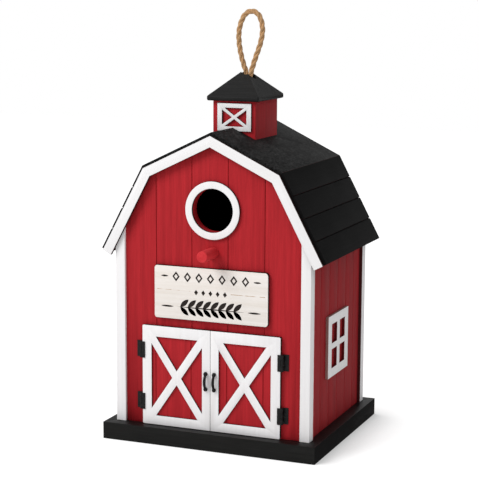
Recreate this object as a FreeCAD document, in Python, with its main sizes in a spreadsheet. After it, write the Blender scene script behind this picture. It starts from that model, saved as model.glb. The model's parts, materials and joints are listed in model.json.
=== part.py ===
import FreeCAD, Part
import math
import os
import re
import Sketcher

# A hanging barn birdhouse with a gambrel roof, a cupola and a pair of clean-out doors.
# Millimetres. +X is to the right of the front, +Y to the back, +Z up.
# The origin is the middle of the base's underside.

doc = FreeCAD.newDocument("birdhouse")
Vector = FreeCAD.Vector
Rotation = FreeCAD.Rotation

sizes = {
    # base and body
    "base_side_margin": 8.6, "base_end_margin": 10.3, "base_thick": 15.2,
    "wall_width": 177.8, "wall_depth": 145.4, "wall_thick": 8.0,
    "post_face": 9.0, "post_proud": 2.5,
    "groove_width": 0.9, "groove_depth": 0.7,
    "front_plank": 33.8, "front_shift": -2.0, "side_plank": 22.5, "side_shift": 3.0,
    # roof: outer profile, board thickness and the rake trim on each gable
    "gable_rise": 42.1, "knuckle_inset": 23.98, "upper_pitch": 25.8, "lower_pitch": 62.0,
    "eave_reach": 15.85, "roof_thick": 8.0, "course_groove": 1.3,
    "trim_reveal": 2.7, "trim_width": 8.7, "trim_thick": 3.2,
    # the front's fittings stand above one another with these gaps
    "entrance_shift": 1.0, "entrance_radius": 19.0, "ring_band": 6.2, "ring_thick": 2.5,
    "ring_gap": 6.5, "perch_radius": 5.0, "perch_reach": 24.3, "perch_clearance": 0.05,
    "perch_gap": 8.4, "sign_width": 106.4, "sign_height": 47.0, "sign_gap": 7.6,
    "sign_thick": 3.5, "sign_corner": 2.8,
    # doors, and how far they lap over the clean-out opening in the front wall
    "door_margin": 17.5, "door_height": 89.4, "door_clearance": 0.5, "door_seam": 0.4,
    "door_gap": 0.3, "door_corner": 1.2, "panel_thick": 1.8, "frame_thick": 1.6,
    "side_lap": 9.9, "bottom_lap": 7.3, "top_lap": 10.1,
    "stile_outer": 8.6, "stile_inner": 7.6, "rail_top": 9.7, "rail_bottom": 8.2,
    "brace_width": 7.0,
    # hinges
    "hinge_height": 14.5, "hinge_rise": 20.3, "hinge_drop": 22.4, "leaf_thick": 0.8,
    "wall_leaf": 5.1, "door_leaf": 3.9, "edge_gap": 0.1, "axis_inset": 0.4,
    "knuckle_radius": 1.4, "knuckle_length": 4.7, "knuckle_gap": 0.25,
    "pin_radius": 0.7, "pin_clearance": 0.05,
    # door pulls, magnets and their strike discs
    "pull_drop": 0.6, "pull_span": 13.8, "pull_rise": 3.0,
    "ball_radius": 1.8, "ball_proud": 1.2, "pull_radius": 1.0,
    "magnet_inset": 6.0, "magnet_drop": 5.1, "magnet_radius": 2.5, "magnet_depth": 3.0,
    "strike_thick": 0.6, "seat_clearance": 0.05,
    # side windows
    "window_width": 54.6, "window_height": 55.5, "window_rise": 44.5, "window_shift": -1.0,
    "window_thick": 2.6, "window_stile": 9.4, "window_rail": 8.0,
    "muntin_upright": 7.8, "muntin_level": 5.5,
    # cupola, its roof's overhang and its front's cross frame
    "cupola_shift": 1.0, "cupola_width": 40.0, "cupola_depth": 53.0, "cupola_rise": 23.2,
    "cap_side_lap": 4.5, "cap_end_lap": 4.7, "cap_rim": 3.7, "cap_rise": 27.2, "cap_round": 1.5,
    "vent_side_gap": 4.1, "vent_top_gap": 2.0, "vent_drop": 3.0, "vent_thick": 2.0,
    "vent_stile": 4.4, "vent_rail": 4.0, "vent_brace": 2.7, "vent_shift": 0.7,
    # hanging rope, and the room its two legs have in each bore
    "rope_diameter": 5.0, "rope_offset": 4.0, "cap_room": 1.6, "cap_bore_shift": 1.4,
    "block_room": 1.6, "ridge_room": 0.8, "knot_lap": 0.9, "knot_height": 5.5, "knot_gap": 0.3,
    # screws up through the base into the corner posts
    "screw_radius": 1.6, "screw_head": 3.3, "head_height": 2.2, "screw_length": 28.0,
    "screw_recess": 0.3, "screw_clearance": 0.1, "pilot_spare": 0.7,
}

sheet = doc.addObject("Spreadsheet::Sheet", "Sizes")
for row, (word, number) in enumerate(sizes.items(), start=1):
    sheet.set("A%d" % row, word)
    sheet.set("B%d" % row, str(number))
    sheet.setAlias("B%d" % row, word)
doc.recompute()

nodes = []


# ---- expressions ----

def full(expression):
    return re.sub(r"[a-z]+(?:_[a-z]+)+", lambda word: "Sizes." + word.group(0), expression)


def value(expression):
    return float(sheet.evalExpression(full(expression)))


def bind(thing, **properties):
    for name, expression in properties.items():
        thing.setExpression(name.replace("__", "."), full(expression))


def place(thing, x="0", y="0", z="0"):
    bind(thing, Placement__Base__x=x, Placement__Base__y=y, Placement__Base__z=z)
    return thing


def finish(thing, label):
    thing.Label = label
    nodes.append(thing)
    return thing


# ---- plates: an outline in the XZ plane, padded away from its front face ----

def pin_point(sketch, geometry, point, axis, expression):
    number = value(expression)
    if abs(number) < 1e-9:
        line = {"X": -2, "Y": -1}[axis]
        sketch.addConstraint(Sketcher.Constraint("PointOnObject", geometry, point, line))
        return
    rule = Sketcher.Constraint("Distance" + axis, -1, 1, geometry, point, number)
    index = sketch.addConstraint(rule)
    sketch.setExpression("Constraints[%d]" % index, full(expression))


def add_outline(sketch, points):
    first = sketch.GeometryCount
    count = len(points)
    corners = [Vector(value(u), value(v), 0) for u, v in points]
    for i in range(count):
        sketch.addGeometry(Part.LineSegment(corners[i], corners[(i + 1) % count]), False)
    for i in range(count):
        after = first + (i + 1) % count
        sketch.addConstraint(Sketcher.Constraint("Coincident", first + i, 2, after, 1))
    for i, (u, v) in enumerate(points):
        pin_point(sketch, first + i, 1, "X", u)
        pin_point(sketch, first + i, 1, "Y", v)


def add_circle(sketch, u, v, radius):
    centre = Vector(value(u), value(v), 0)
    circle = Part.Circle(centre, Vector(0, 0, 1), value(radius))
    index = sketch.addGeometry(circle, False)
    rule = sketch.addConstraint(Sketcher.Constraint("Radius", index, value(radius)))
    sketch.setExpression("Constraints[%d]" % rule, full(radius))
    pin_point(sketch, index, 3, "X", u)
    pin_point(sketch, index, 3, "Y", v)


def new_sketch(body, name, outlines, circles=(), role="XZ_Plane"):
    plane = [item for item in body.Origin.OriginFeatures if item.Role == role][0]
    sketch = body.newObject("Sketcher::SketchObject", name)
    sketch.AttachmentSupport = (plane, [""])
    sketch.MapMode = "FlatFace"
    for outline in outlines:
        add_outline(sketch, outline)
    for u, v, radius in circles:
        add_circle(sketch, u, v, radius)
    return sketch


def pad(body, sketch, length):
    feature = body.newObject("PartDesign::Pad", body.Name + "_pad")
    feature.Profile = sketch
    feature.Reversed = True
    bind(feature, Length=length)
    return feature


def pocket(body, sketch, depth, inward=True):
    before = body.Tip.Shape.Volume
    feature = body.newObject("PartDesign::Pocket", body.Name + "_pocket")
    feature.Profile = sketch
    feature.Reversed = not inward
    bind(feature, Length=depth)
    doc.recompute()
    if feature.Shape.Volume > before - 1.0:
        raise RuntimeError(body.Name + ": its pocket cuts nothing")
    return feature


def plate(name, front, thick, outline, holes=(), circles=(), back=False):
    body = doc.addObject("PartDesign::Body", name)
    if back:
        body.Placement = FreeCAD.Placement(Vector(), Rotation(Vector(0, 0, 1), 180))
    place(body, y=front)
    pad(body, new_sketch(body, name + "_outline", [outline] + list(holes), circles), thick)
    doc.recompute()
    return body


def round_corners(body, radius, chosen=lambda point: True):
    base = body.Tip
    edges = []
    for number, edge in enumerate(base.Shape.Edges, start=1):
        along = edge.Vertexes[-1].Point - edge.Vertexes[0].Point
        upright = abs(along.x) + abs(along.z) < 1e-6 and abs(along.y) > 1e-6
        if upright and chosen(edge.Vertexes[0].Point):
            edges.append("Edge%d" % number)
    feature = body.newObject("PartDesign::Fillet", body.Name + "_corners")
    feature.Base = (base, edges)
    bind(feature, Radius=radius)
    doc.recompute()


def rectangle(left, right, bottom, top):
    return [(left, bottom), (right, bottom), (right, top), (left, top)]


# ---- solids made from primitives ----

def box(name, length, width, height, x="0", y="0", z="0"):
    solid = doc.addObject("Part::Box", name)
    bind(solid, Length=length, Width=width, Height=height)
    return place(solid, x, y, z)


def cylinder(name, radius, height, x="0", y="0", z="0", along="Z"):
    solid = doc.addObject("Part::Cylinder", name)
    bind(solid, Radius=radius, Height=height)
    if along == "Y":
        solid.Placement = FreeCAD.Placement(Vector(), Rotation(Vector(1, 0, 0), -90))
    return place(solid, x, y, z)


def fuse(name, solids):
    result = doc.addObject("Part::MultiFuse", name)
    result.Shapes = solids
    return result


def cut(name, base, tool):
    result = doc.addObject("Part::Cut", name)
    result.Base = base
    result.Tool = tool
    doc.recompute()
    if result.Shape.Volume > base.Shape.Volume - 0.1:
        raise RuntimeError(name + ": its cut removes nothing")
    return result


def group(label, solids):
    result = doc.addObject("Part::Compound", label)
    result.Links = solids
    return finish(result, label)


# ---- planes and levels that several pieces share ----

POST_INNER = "(wall_width / 2 + post_proud - post_face)"
FRONT = "(wall_depth / 2)"
GABLE = "(wall_depth / 2 + post_proud)"
DOOR_BOTTOM = "(base_thick + door_clearance)"
DOOR_TOP = "(%s + door_height)" % DOOR_BOTTOM
DOOR_OUTER = "(%s - door_margin)" % POST_INNER
MAGNET_LEVEL = "(%s - magnet_drop)" % DOOR_TOP
SIGN_BOTTOM = "(%s + sign_gap)" % DOOR_TOP
PERCH_LEVEL = "(%s + sign_height + perch_gap + perch_radius)" % SIGN_BOTTOM
RING_RADIUS = "(entrance_radius + ring_band)"
ENTRANCE_LEVEL = "(%s + perch_radius + ring_gap + %s)" % (PERCH_LEVEL, RING_RADIUS)
RIDGE = "(%s + %s + gable_rise)" % (ENTRANCE_LEVEL, RING_RADIUS)
CUPOLA_TOP = "(%s + cupola_rise)" % RIDGE
ROPE_X = "(cupola_shift + rope_offset)"
sides = {"left": "-1", "right": "1"}


# ---- the roof's profile: depth is measured inward, square to the boards ----

MIDDLE_PITCH = "(upper_pitch + lower_pitch) / 2"
HALF_BEND = "(lower_pitch - upper_pitch) / 2"
KNUCKLE_HALF = "(wall_width / 2 - knuckle_inset)"
KNUCKLE_HEIGHT = "(%s - %s * tan(upper_pitch))" % (RIDGE, KNUCKLE_HALF)
LOWER_RUN = "((knuckle_inset + eave_reach) / cos(lower_pitch))"


def apex(depth):
    return ("0", "%s - (%s) / cos(upper_pitch)" % (RIDGE, depth))


def knuckle(depth, side):
    inward = "(%s) / cos(%s)" % (depth, HALF_BEND)
    u = "%s * (%s - %s * sin(%s))" % (side, KNUCKLE_HALF, inward, MIDDLE_PITCH)
    v = "%s - %s * cos(%s)" % (KNUCKLE_HEIGHT, inward, MIDDLE_PITCH)
    return (u, v)


def lower(run, depth, side):
    out = "(%s) * cos(lower_pitch) - (%s) * sin(lower_pitch)" % (run, depth)
    down = "(%s) * sin(lower_pitch) + (%s) * cos(lower_pitch)" % (run, depth)
    return ("%s * (%s + %s)" % (side, KNUCKLE_HALF, out), "%s - (%s)" % (KNUCKLE_HEIGHT, down))


def soffit_height(x):
    reach = "(%s - %s + roof_thick * sin(lower_pitch))" % (x, KNUCKLE_HALF)
    drop = "roof_thick * cos(lower_pitch) + %s * tan(lower_pitch)" % reach
    return "%s - (%s)" % (KNUCKLE_HEIGHT, drop)


# ---- base ----

BASE_WIDTH = "(wall_width + 2 * (post_proud + base_side_margin))"
BASE_DEPTH = "(wall_depth + 2 * (post_proud + base_end_margin))"
SCREW_X = "(%s + post_face / 2)" % POST_INNER
SCREW_Y = "(%s - (post_proud + wall_thick) / 2)" % GABLE


def screw(name, x, y, extra):
    head = doc.addObject("Part::Cone", name + "_head")
    bind(head, Radius1="screw_head + " + extra, Radius2="screw_radius + " + extra,
         Height="head_height")
    place(head, x, y, "screw_recess")
    shank = cylinder(name + "_shank", "screw_radius + " + extra, "screw_length + " + extra,
                     x, y, "screw_recess")
    return fuse(name, [head, shank])


def screw_places():
    return [(s + " * " + SCREW_X, d + " * " + SCREW_Y) for s in ("-1", "1") for d in ("-1", "1")]


def make_base():
    slab = box("base_slab", BASE_WIDTH, BASE_DEPTH, "base_thick",
               "-%s / 2" % BASE_WIDTH, "-%s / 2" % BASE_DEPTH)
    holes = []
    for number, (x, y) in enumerate(screw_places(), start=1):
        holes.append(screw("screw_hole_%d" % number, x, y, "screw_clearance"))
        holes.append(cylinder("head_recess_%d" % number, "screw_head + screw_clearance",
                              "screw_recess", x, y))
    finish(cut("base_board", slab, fuse("base_holes", holes)), "base")
    screws = [screw("screw_%d" % number, x, y, "0")
              for number, (x, y) in enumerate(screw_places(), start=1)]
    group("base_screws", screws)


# ---- walls ----

def grooves(body, plank, shift, count, side="XZ_Plane", inward=True):
    lines = []
    for i in range(count):
        middle = "(%s + %s * %.1f)" % (shift, plank, i - (count - 1) / 2)
        lines.append(rectangle(middle + " - groove_width / 2", middle + " + groove_width / 2",
                               "base_thick - groove_width", RIDGE))
    sketch = new_sketch(body, body.Name + "_grooves", lines, role=side)
    pocket(body, sketch, "groove_depth", inward)


def gable_outline():
    eave = soffit_height(POST_INNER)
    depth = "roof_thick"
    return [("-1 * " + POST_INNER, "base_thick"), (POST_INNER, "base_thick"), (POST_INNER, eave),
            knuckle(depth, "1"), apex(depth), knuckle(depth, "-1"), ("-1 * " + POST_INNER, eave)]


def make_end_walls():
    half = "(%s - side_lap)" % DOOR_OUTER
    opening = rectangle("-" + half, half, DOOR_BOTTOM + " + bottom_lap", DOOR_TOP + " - top_lap")
    circles = [("entrance_shift", ENTRANCE_LEVEL, "entrance_radius"),
               ("entrance_shift", PERCH_LEVEL, "perch_radius + perch_clearance")]
    front = plate("front_board", "-" + FRONT, "wall_thick", gable_outline(), [opening], circles)
    grooves(front, "front_plank", "front_shift", 4)
    seats = [cylinder("magnet_seat_" + side, "magnet_radius + seat_clearance", "magnet_depth",
                      sign + " * magnet_inset", "-" + FRONT, MAGNET_LEVEL, "Y")
             for side, sign in sides.items()]
    finish(cut("front_wall", front, fuse("magnet_seats", seats)), "front_wall")
    group("door_magnets", [
        cylinder("magnet_" + side, "magnet_radius", "magnet_depth",
                 sign + " * magnet_inset", "-" + FRONT, MAGNET_LEVEL, "Y")
        for side, sign in sides.items()])
    rear = plate("back_board", FRONT, "wall_thick", gable_outline(), back=True)
    grooves(rear, "front_plank", "front_shift", 4)
    finish(rear, "back_wall")


def make_side_wall(side, sign):
    body = doc.addObject("PartDesign::Body", side + "_board")
    place(body, x=sign + " * wall_width / 2")
    inner = sign + " * -wall_thick"
    section = [(inner, "base_thick"), ("0", "base_thick"),
               ("0", soffit_height("wall_width / 2")),
               (inner, soffit_height("(wall_width / 2 - wall_thick)"))]
    feature = pad(body, new_sketch(body, side + "_section", [section]),
                  "wall_depth - 2 * wall_thick")
    feature.Midplane = True
    doc.recompute()
    grooves(body, "side_plank", "side_shift", 5, "YZ_Plane", inward=sign == "1")
    finish(body, side + "_wall")


def make_posts():
    for side, sign in sides.items():
        inner = "%s * %s" % (sign, POST_INNER)
        outer = "%s * (%s + post_face)" % (sign, POST_INNER)
        outline = [(inner, "base_thick"), (outer, "base_thick"),
                   (outer, soffit_height("(%s + post_face)" % POST_INNER)),
                   (inner, soffit_height(POST_INNER))]
        depth = "wall_thick + post_proud"
        for end, front in (("front", "-" + GABLE), ("back", FRONT + " - wall_thick")):
            blank = plate("%s_%s_blank" % (end, side), front, depth, outline)
            y = {"front": "-1", "back": "1"}[end] + " * " + SCREW_Y
            pilot = cylinder("%s_%s_pilot" % (end, side), "screw_radius + screw_clearance",
                             "screw_recess + screw_length + pilot_spare",
                             sign + " * " + SCREW_X, y)
            name = "corner_post_%s_%s" % (end, side)
            finish(cut(name, blank, pilot), name)


# ---- roof ----

COURSES = 4
RIDGE_BORE = "(rope_diameter + ridge_room)"


def make_roof():
    length = "2 * " + GABLE
    for side, sign in sides.items():
        outline = [apex("0"), knuckle("0", sign), knuckle("roof_thick", sign), apex("roof_thick")]
        name = "ridge_board_" + side
        blank = plate(name + "_blank", "-" + GABLE, length, outline)
        bore = cylinder(name + "_bore", RIDGE_BORE, RIDGE, ROPE_X)
        finish(cut(name, blank, bore), name)
        for number in range(COURSES):
            top = "%s * %d / %d" % (LOWER_RUN, number, COURSES)
            low = "%s * %d / %d" % (LOWER_RUN, number + 1, COURSES)
            if number == 0:
                outline = [knuckle("0", sign), knuckle("roof_thick", sign)]
            else:
                outline = [lower(top + " + course_groove", "0", sign),
                           lower(top, "course_groove", sign), lower(top, "roof_thick", sign)]
            outline = outline[::-1] + [lower(low, "0", sign), lower(low, "roof_thick", sign)]
            name = "roof_course_%s_%d" % (side, number + 1)
            finish(plate(name, "-" + GABLE, length, outline), name)


def make_rake_trim():
    outer = "trim_reveal"
    inner = "trim_reveal + trim_width"
    for side, sign in sides.items():
        upper = [apex(outer), knuckle(outer, sign), knuckle(inner, sign), apex(inner)]
        fall = [knuckle(outer, sign), lower(LOWER_RUN, outer, sign),
                lower(LOWER_RUN, inner, sign), knuckle(inner, sign)]
        for part, outline in (("upper", upper), ("lower", fall)):
            for end, front in (("front", "-%s - trim_thick" % GABLE), ("back", GABLE)):
                name = "rake_trim_%s_%s_%s" % (end, part, side)
                finish(plate(name, front, "trim_thick", outline), name)


# ---- entrance, perch and sign ----

def make_front_fittings():
    ring = doc.addObject("PartDesign::Body", "ring_body")
    place(ring, y="-%s - ring_thick" % FRONT)
    circles = [("entrance_shift", ENTRANCE_LEVEL, RING_RADIUS),
               ("entrance_shift", ENTRANCE_LEVEL, "entrance_radius")]
    pad(ring, new_sketch(ring, "ring_circles", [], circles), "ring_thick")
    finish(ring, "entrance_ring")
    perch = cylinder("perch_dowel", "perch_radius", "perch_reach + wall_thick",
                     "entrance_shift", "-%s - perch_reach" % FRONT, PERCH_LEVEL, "Y")
    finish(perch, "perch")
    sign = plate("sign_plate", "-%s - sign_thick" % FRONT, "sign_thick",
                 rectangle("-sign_width / 2", "sign_width / 2", SIGN_BOTTOM,
                           SIGN_BOTTOM + " + sign_height"))
    round_corners(sign, "sign_corner")
    finish(sign, "sign_board")


# ---- braced frames: a rectangle with crossed braces from corner to corner ----

def braced_holes(left, right, bottom, top, width):
    across = "((%s) - (%s))" % (right, left)
    tall = "((%s) - (%s))" % (top, bottom)
    diagonal = "sqrt(%s ^ 2 + %s ^ 2)" % (across, tall)
    back_x = "(%s) / 2 * %s / %s" % (width, diagonal, tall)
    back_z = "(%s) / 2 * %s / %s" % (width, diagonal, across)
    middle_x = "((%s) + (%s)) / 2" % (left, right)
    middle_z = "((%s) + (%s)) / 2" % (bottom, top)
    holes = []
    for edge, toward in ((top, "1"), (bottom, "-1")):
        holes.append([("%s + %s" % (left, back_x), edge), ("%s - %s" % (right, back_x), edge),
                      (middle_x, "%s + %s * %s" % (middle_z, toward, back_z))])
    for edge, toward in ((right, "1"), (left, "-1")):
        holes.append([(edge, "%s + %s" % (bottom, back_z)), (edge, "%s - %s" % (top, back_z)),
                      ("%s + %s * %s" % (middle_x, toward, back_x), middle_z)])
    return holes


# ---- doors ----

DOOR_BACK = "(%s + door_gap)" % FRONT
PANEL_FRONT = "(%s + panel_thick)" % DOOR_BACK
DOOR_FRONT = "(%s + frame_thick)" % PANEL_FRONT
AXIS_X = "(%s + knuckle_radius + edge_gap)" % DOOR_OUTER
AXIS_Y = "(%s - axis_inset)" % DOOR_FRONT


def make_door(side, sign):
    inner = sign + " * door_seam / 2"
    outer = "%s * %s" % (sign, DOOR_OUTER)
    outline = rectangle(inner, outer, DOOR_BOTTOM, DOOR_TOP)
    outermost = value(DOOR_OUTER) - 1

    panel = plate(side + "_door_board", "-" + PANEL_FRONT, "panel_thick", outline)
    round_corners(panel, "door_corner", lambda point: abs(point.x) > outermost)
    grooves(panel, "front_plank", "front_shift", 4)
    seat = cylinder(side + "_strike_seat", "magnet_radius + seat_clearance", "strike_thick",
                    sign + " * magnet_inset", "-%s - strike_thick" % DOOR_BACK,
                    MAGNET_LEVEL, "Y")
    finish(cut(side + "_door_panel", panel, seat), side + "_door_panel")
    finish(cylinder(side + "_strike", "magnet_radius", "strike_thick",
                    sign + " * magnet_inset", "-%s - strike_thick" % DOOR_BACK,
                    MAGNET_LEVEL, "Y"), side + "_strike_plate")

    near = "%s * (door_seam / 2 + stile_inner)" % sign
    far = "%s * (%s - stile_outer)" % (sign, DOOR_OUTER)
    left, right = (near, far) if sign == "1" else (far, near)
    holes = braced_holes(left, right, "(%s + rail_bottom)" % DOOR_BOTTOM,
                         "(%s - rail_top)" % DOOR_TOP, "brace_width")
    frame = plate(side + "_frame_board", "-" + DOOR_FRONT, "frame_thick", outline, holes)
    round_corners(frame, "door_corner", lambda point: abs(point.x) > outermost)
    finish(frame, side + "_door_frame")
    make_pull(side, sign + " * (door_seam / 2 + stile_inner / 2)")


def make_pull(side, x):
    ball_y = "(-%s - ball_proud)" % DOOR_FRONT
    level = "((%s + %s) / 2 - pull_drop)" % (DOOR_BOTTOM, DOOR_TOP)
    bow = "((pull_span / 2) ^ 2 + pull_rise ^ 2) / (2 * pull_rise)"
    bar = doc.addObject("Part::Torus", side + "_pull_bar")
    bar.Placement = FreeCAD.Placement(Vector(), Rotation(Vector(0, -1, 0), Vector(0, 0, 1),
                                                         Vector(-1, 0, 0), "XYZ"))
    half = "asin(pull_span / 2 / (%s))" % bow
    bind(bar, Radius1=bow, Radius2="pull_radius", Angle3="2 * " + half)
    turn = value(half)
    bar.Placement.Rotation = bar.Placement.Rotation * Rotation(Vector(0, 0, 1), -turn)
    place(bar, x, "%s - pull_rise + (%s)" % (ball_y, bow), level)
    balls = []
    for end, toward in (("low", "-1"), ("high", "1")):
        ball = doc.addObject("Part::Sphere", "%s_ball_%s" % (side, end))
        bind(ball, Radius="ball_radius")
        balls.append(place(ball, x, ball_y, "%s + %s * pull_span / 2" % (level, toward)))
    whole = fuse(side + "_pull_whole", [bar] + balls)
    behind = box(side + "_pull_behind", "4 * ball_radius", "4 * ball_radius",
                 "pull_span + 4 * ball_radius", x + " - 2 * ball_radius", "-" + DOOR_FRONT,
                 level + " - pull_span / 2 - 2 * ball_radius")
    finish(cut(side + "_door_pull", whole, behind), side + "_door_pull")


# ---- hinges: the wall leaf holds the middle knuckle and the pin, the door leaf the outer two ----

def knuckle_tube(name, x, low, length):
    return cylinder(name, "knuckle_radius", length, x, "-" + AXIS_Y, low)


def make_hinge(side, sign, level, height):
    tag = "%s_%s" % (level, side)
    x = "%s * %s" % (sign, AXIS_X)
    bottom = "(%s - hinge_height / 2)" % height
    middle = "(%s - knuckle_length / 2)" % height
    wall_bore, door_bore = [cylinder(name + "_bore_" + tag, "pin_radius + pin_clearance",
                                     "hinge_height", x, "-" + AXIS_Y, bottom)
                            for name in ("wall", "door")]

    wall_low = x if sign == "1" else x + " - wall_leaf"
    leaf = box("wall_plate_" + tag, "wall_leaf", "leaf_thick", "hinge_height",
               wall_low, "-%s - leaf_thick" % FRONT, bottom)
    web_low = x if sign == "1" else x + " - knuckle_radius"
    web = box("wall_web_" + tag, "knuckle_radius", "%s - %s" % (AXIS_Y, FRONT),
              "knuckle_length", web_low, "-" + AXIS_Y, middle)
    tube = knuckle_tube("wall_knuckle_" + tag, x, middle, "knuckle_length")
    name = "hinge_wall_leaf_" + tag
    finish(cut(name, fuse("wall_solid_" + tag, [leaf, web, tube]), wall_bore), name)

    door_low = x + " - door_leaf" if sign == "1" else x
    cover = box("door_plate_" + tag, "door_leaf", "leaf_thick", "hinge_height",
                door_low, "-%s - leaf_thick" % DOOR_FRONT, bottom)
    ends = [knuckle_tube("door_knuckle_low_" + tag, x, bottom,
                         "(hinge_height - knuckle_length) / 2 - knuckle_gap"),
            knuckle_tube("door_knuckle_high_" + tag, x, middle + " + knuckle_length + knuckle_gap",
                         "(hinge_height - knuckle_length) / 2 - knuckle_gap")]
    notch = cylinder("door_notch_" + tag, "knuckle_radius + knuckle_gap",
                     "knuckle_length + 2 * knuckle_gap", x, "-" + AXIS_Y,
                     middle + " - knuckle_gap")
    shaped = cut("door_solid_" + tag, fuse("door_blank_" + tag, [cover] + ends), notch)
    name = "hinge_door_leaf_" + tag
    finish(cut(name, shaped, door_bore), name)
    return cylinder("pin_" + tag, "pin_radius", "hinge_height", x, "-" + AXIS_Y, bottom)


# ---- side windows ----

def make_window(side, sign):
    body = doc.addObject("PartDesign::Body", side + "_window")
    turn = {"1": 90, "-1": -90}[sign]
    body.Placement = FreeCAD.Placement(Vector(), Rotation(Vector(0, 0, 1), turn))
    place(body, sign + " * (wall_width / 2 + window_thick)", "window_shift",
          "base_thick + window_rise")
    half = "(window_width / 2)"
    outline = rectangle("-" + half, half, "0", "window_height")
    panes = []
    pane_out = "(%s - window_stile)" % half
    rows = [("window_rail", "window_height / 2 - muntin_level / 2"),
            ("window_height / 2 + muntin_level / 2", "window_height - window_rail")]
    for across in ("-1", "1"):
        for low, high in rows:
            panes.append(rectangle(across + " * muntin_upright / 2",
                                   "%s * %s" % (across, pane_out), low, high))
    pad(body, new_sketch(body, side + "_panes", [outline] + panes), "window_thick")
    doc.recompute()
    finish(body, "window_frame_" + side)


# ---- cupola ----

def roof_height(x):
    return "%s - (%s) * tan(upper_pitch)" % (RIDGE, x)


def make_cupola():
    half = "(cupola_width / 2)"
    left = "cupola_shift - " + half
    right = "cupola_shift + " + half
    outline = [(left, roof_height(half + " - cupola_shift")), ("0", RIDGE),
               (right, roof_height(half + " + cupola_shift")),
               (right, CUPOLA_TOP), (left, CUPOLA_TOP)]
    blank = plate("cupola_blank", "-cupola_depth / 2", "cupola_depth", outline)
    bore = cylinder("cupola_bore", "rope_diameter + block_room", CUPOLA_TOP, ROPE_X)
    finish(cut("cupola_block", blank, bore), "cupola_block")

    centre = "(cupola_shift + vent_shift)"
    low_left = "%s - (cupola_width / 2 - vent_side_gap)" % centre
    low_right = "%s + (cupola_width / 2 - vent_side_gap)" % centre
    bottom = "(%s - vent_drop)" % RIDGE
    top = "(%s - vent_top_gap)" % CUPOLA_TOP
    clear = "(vent_drop / tan(upper_pitch))"
    outline = [(low_left, bottom), ("-1 * " + clear, bottom), ("0", RIDGE), (clear, bottom),
               (low_right, bottom), (low_right, top), (low_left, top)]
    holes = braced_holes("(%s + vent_stile)" % low_left, "(%s - vent_stile)" % low_right,
                         "(%s + vent_rail)" % bottom, "(%s - vent_rail)" % top, "vent_brace")
    finish(plate("vent_board", "-cupola_depth / 2 - vent_thick", "vent_thick", outline, holes),
           "cupola_cross_frame")


def make_cap():
    # a low pyramid on a rounded rim, bored beside its peak for the rope
    half_width = "(cupola_width / 2 + cap_side_lap)"
    half_depth = "(cupola_depth / 2 + cap_end_lap)"
    rim = box("cap_rim_slab", "2 * " + half_width, "2 * " + half_depth, "cap_rim",
              "cupola_shift - " + half_width, "-" + half_depth, CUPOLA_TOP)
    peak = doc.addObject("Part::Wedge", "cap_pyramid")
    bind(peak, Xmin="-" + half_width, Xmax=half_width, Zmin="-" + half_depth, Zmax=half_depth,
         Ymin="0", Ymax="cap_rise - cap_rim", X2min="0", X2max="0", Z2min="0", Z2max="0")
    peak.Placement = FreeCAD.Placement(Vector(), Rotation(Vector(1, 0, 0), 90))
    place(peak, "cupola_shift", "0", CUPOLA_TOP + " + cap_rim")
    whole = fuse("cap_whole", [rim, peak])
    whole.Refine = True
    doc.recompute()
    limit = value(CUPOLA_TOP + " + cap_rim") + 0.01
    rounded = doc.addObject("Part::Fillet", "cap_rounded")
    rounded.Base = whole
    radius = value("cap_round")
    rounded.Edges = [(number, radius, radius)
                     for number, edge in enumerate(whole.Shape.Edges, start=1)
                     if edge.BoundBox.ZMax < limit]
    doc.recompute()
    bore = cylinder("cap_bore_hole", "rope_diameter + cap_room", CUPOLA_TOP + " + cap_rise",
                    ROPE_X + " - cap_bore_shift")
    finish(cut("cap_bored", rounded, bore), "cupola_roof")


# ---- hanging rope: one length, knotted under the ridge, that stands up as a loop ----

KNOT_RADIUS = "(%s + knot_lap)" % RIDGE_BORE
KNOT_REACH = "sqrt((%s * sin(upper_pitch)) ^ 2 + (knot_height * cos(upper_pitch)) ^ 2)" % KNOT_RADIUS

rope_points = [
    (5.2, -2.6, 263.0), (4.8, -2.6, 280.0), (5.2, -2.6, 299.0), (5.0, -2.6, 318.0),
    (10.9, -1.9, 337.5), (15.3, -0.9, 349.5), (17.2, -0.2, 361.5), (15.3, 0.0, 370.8),
    (11.8, 0.1, 376.3), (6.3, 0.1, 378.1), (0.9, 0.2, 376.2), (-3.3, 0.3, 370.2),
    (-6.3, 0.6, 360.0), (-5.9, 1.0, 347.5), (-3.0, 1.9, 333.5), (2.9, 2.7, 318.0),
    (5.0, 2.6, 299.0), (4.8, 2.6, 281.0), (5.2, 2.6, 263.0),
]


def rope_path(points):
    places = [Vector(*point) for point in points]
    edges = []
    radii = []
    start = places[0]
    for before, corner, after in zip(places, places[1:], places[2:]):
        into = corner - before
        out = after - corner
        turn = into.getAngle(out)
        reach = 0.45 * min(into.Length, out.Length)
        radii.append(reach / math.tan(turn / 2))
        into.normalize()
        out.normalize()
        first = corner - into * reach
        last = corner + out * reach
        bisector = out - into
        bisector.normalize()
        centre = corner + bisector * (radii[-1] / math.cos(turn / 2))
        toward = corner - centre
        toward.normalize()
        edges.append(Part.LineSegment(start, first).toShape())
        edges.append(Part.Arc(first, centre + toward * radii[-1], last).toShape())
        start = last
    edges.append(Part.LineSegment(start, places[-1]).toShape())
    return Part.Wire(edges), radii


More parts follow.
